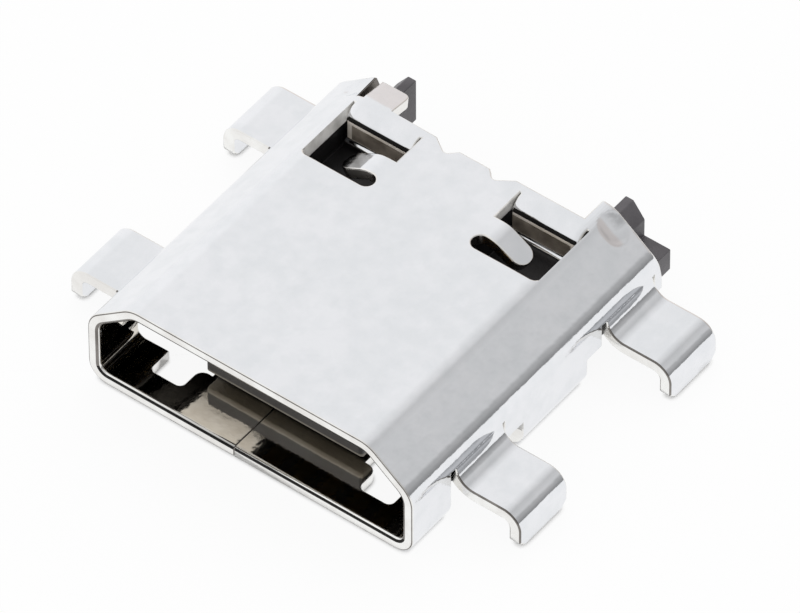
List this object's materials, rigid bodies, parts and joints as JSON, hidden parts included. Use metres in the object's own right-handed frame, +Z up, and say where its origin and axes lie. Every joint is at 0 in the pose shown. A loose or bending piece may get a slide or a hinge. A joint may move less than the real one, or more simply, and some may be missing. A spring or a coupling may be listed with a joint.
{
  "type": "charging port connector",
  "caption": "Mid-mount charging socket for a phone: folded metal shell with bent board legs and lock windows, black moulded housing with a tongue, and formed contacts.",
  "frame": {"origin": "centre of the connector's footprint, on the plane of the shell's underside", "axes": "+X across the mouth's width, +Y from the mouth towards the tails, +Z up from the floor to the narrow top wall"},
  "size_m": [0.0102, 0.0082, 0.0023],
  "materials": {
    "plated_sheet": "bright plated sheet with faint handling marks",
    "moulded_polymer": "matt black moulding",
    "gilt_contact": "thin gilt over copper alloy"
  },
  "bodies": {
    "root": {"shell": "plated_sheet", "housing": "moulded_polymer", "contact_power": "gilt_contact", "contact_data_minus": "gilt_contact", "contact_data_plus": "gilt_contact", "contact_id": "gilt_contact", "contact_ground": "gilt_contact"}
  },
  "joints": []
}
